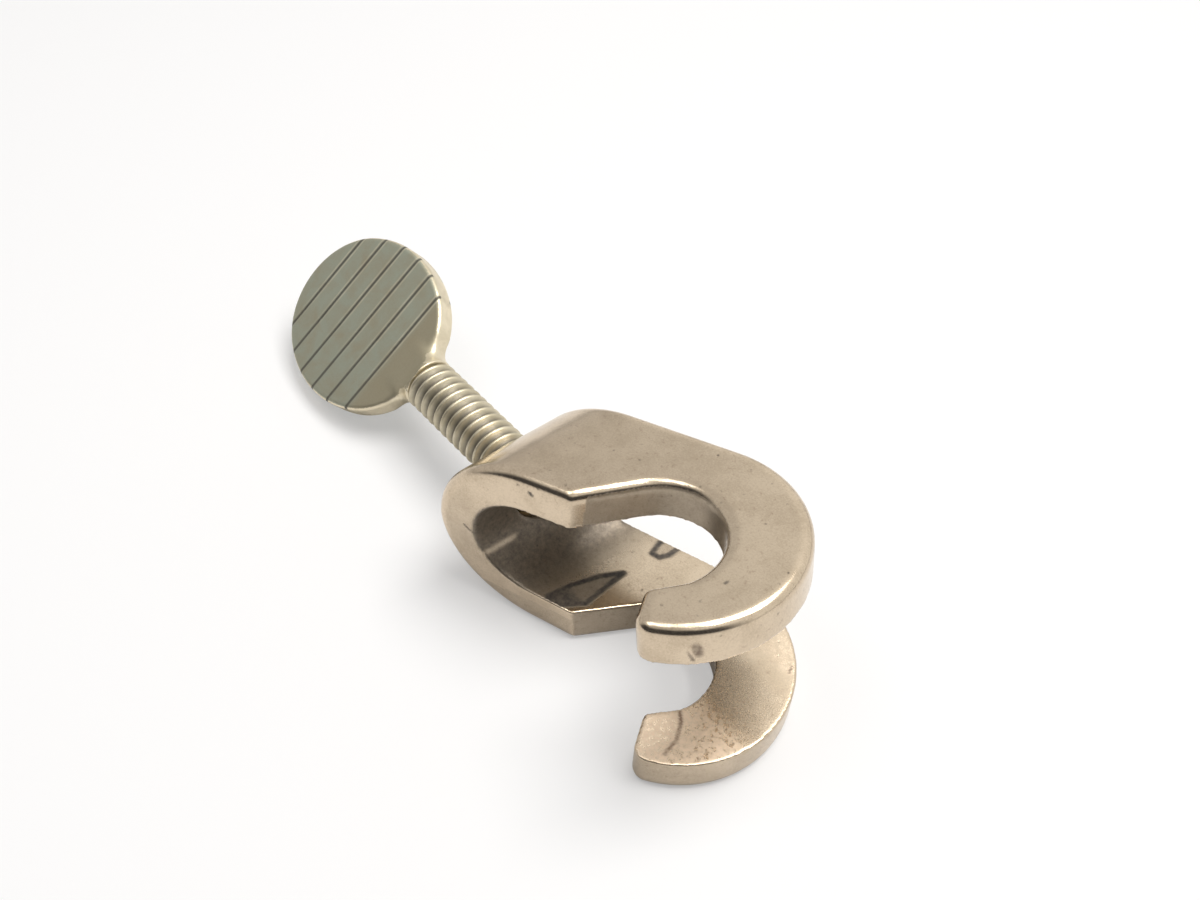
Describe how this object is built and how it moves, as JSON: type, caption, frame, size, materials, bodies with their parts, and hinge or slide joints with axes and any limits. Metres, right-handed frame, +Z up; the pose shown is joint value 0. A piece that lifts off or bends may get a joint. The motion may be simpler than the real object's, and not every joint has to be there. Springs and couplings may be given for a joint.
{
  "type": "boss head clamp",
  "caption": "Boss head for laboratory rods: a nickel-plated double-hook casting takes an upright rod and a cross rod at right angles, both held by a thumbscrew through its nose.",
  "frame": {"origin": "on the upright rod's axis, halfway between the two hooks", "axes": "+X from the thumbscrew's head towards the hooks, +Y along the cross rod towards the closed back, +Z up as the clamp lies on its lower leg; the upright rod leans 4.6 degrees from +Z and the screw's axis 4.6 degrees from +X"},
  "size_m": [0.0811, 0.024, 0.0268],
  "materials": {
    "nickel_casting": "satin nickel plating, slightly mottled",
    "screw_steel": "worn plating, greyish on the pressed faces"
  },
  "bodies": {
    "body": {"clamp_body": "nickel_casting"},
    "screw": {"thumb_screw": "screw_steel"}
  },
  "joints": [
    {"name": "screw_advance", "type": "slide", "parent": "body", "child": "screw", "axis": [0.9968, 0, 0.0802], "range_m": [-0.003, 0.0165]}
  ]
}
